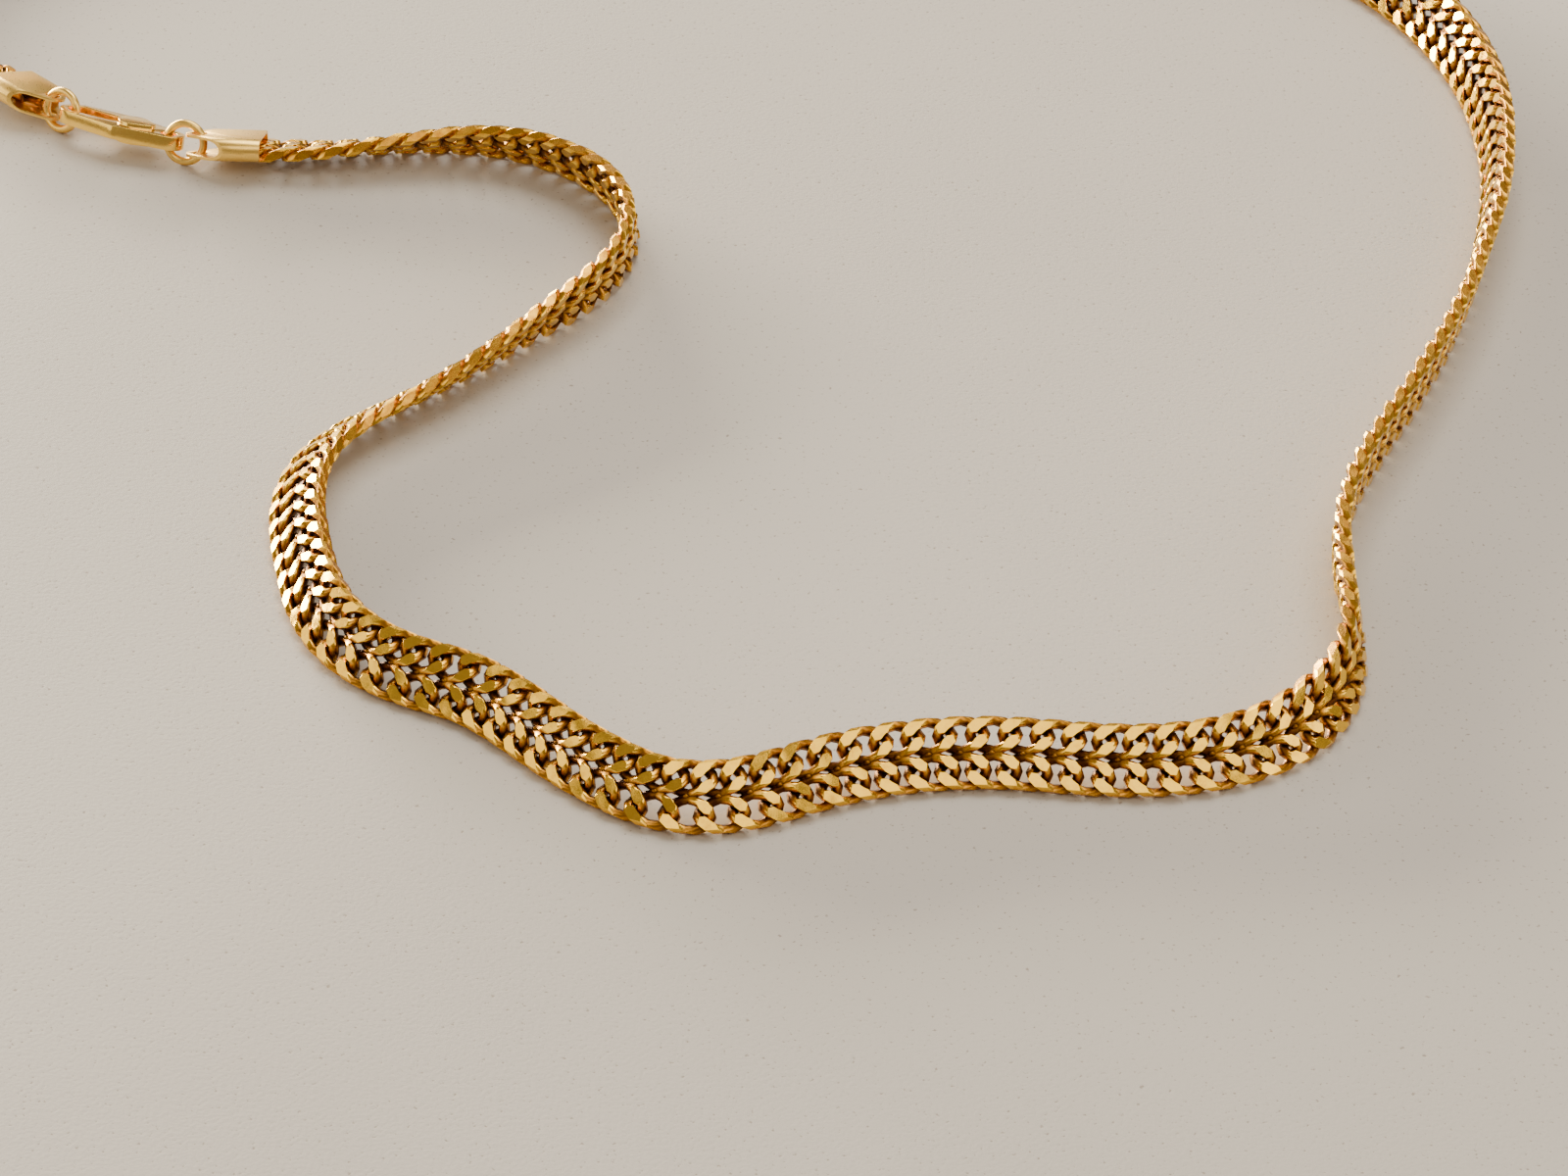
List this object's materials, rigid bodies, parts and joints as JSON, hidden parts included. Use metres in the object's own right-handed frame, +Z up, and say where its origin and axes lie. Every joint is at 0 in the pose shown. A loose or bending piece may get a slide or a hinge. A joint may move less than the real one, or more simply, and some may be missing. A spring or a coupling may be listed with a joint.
{
  "type": "wheat chain necklace",
  "caption": "Flat gold wheat chain necklace, fastened and lying in a loose loop, with soldered link pairs, sheet end caps, jump rings and a claw clasp.",
  "frame": {"origin": "middle of the laid loop's box, on the surface that it lies on", "axes": "+Z up from that surface, +Y away from the picture's viewer towards the stretch behind, +X to the viewer's right"},
  "size_m": [0.145, 0.1458, 0.0056],
  "materials": {
    "chain_gold": "yellow gold, ground flat and polished, with fine brushed facets",
    "cap_gold": "polished yellow gold sheet",
    "clasp_gold": "polished yellow gold"
  },
  "bodies": {
    "root": {"wheat_chain": "chain_gold", "end_cap_left": "cap_gold", "end_cap_right": "cap_gold", "jump_ring_left": "clasp_gold", "jump_ring_right": "clasp_gold", "clasp": "clasp_gold"}
  },
  "joints": []
}
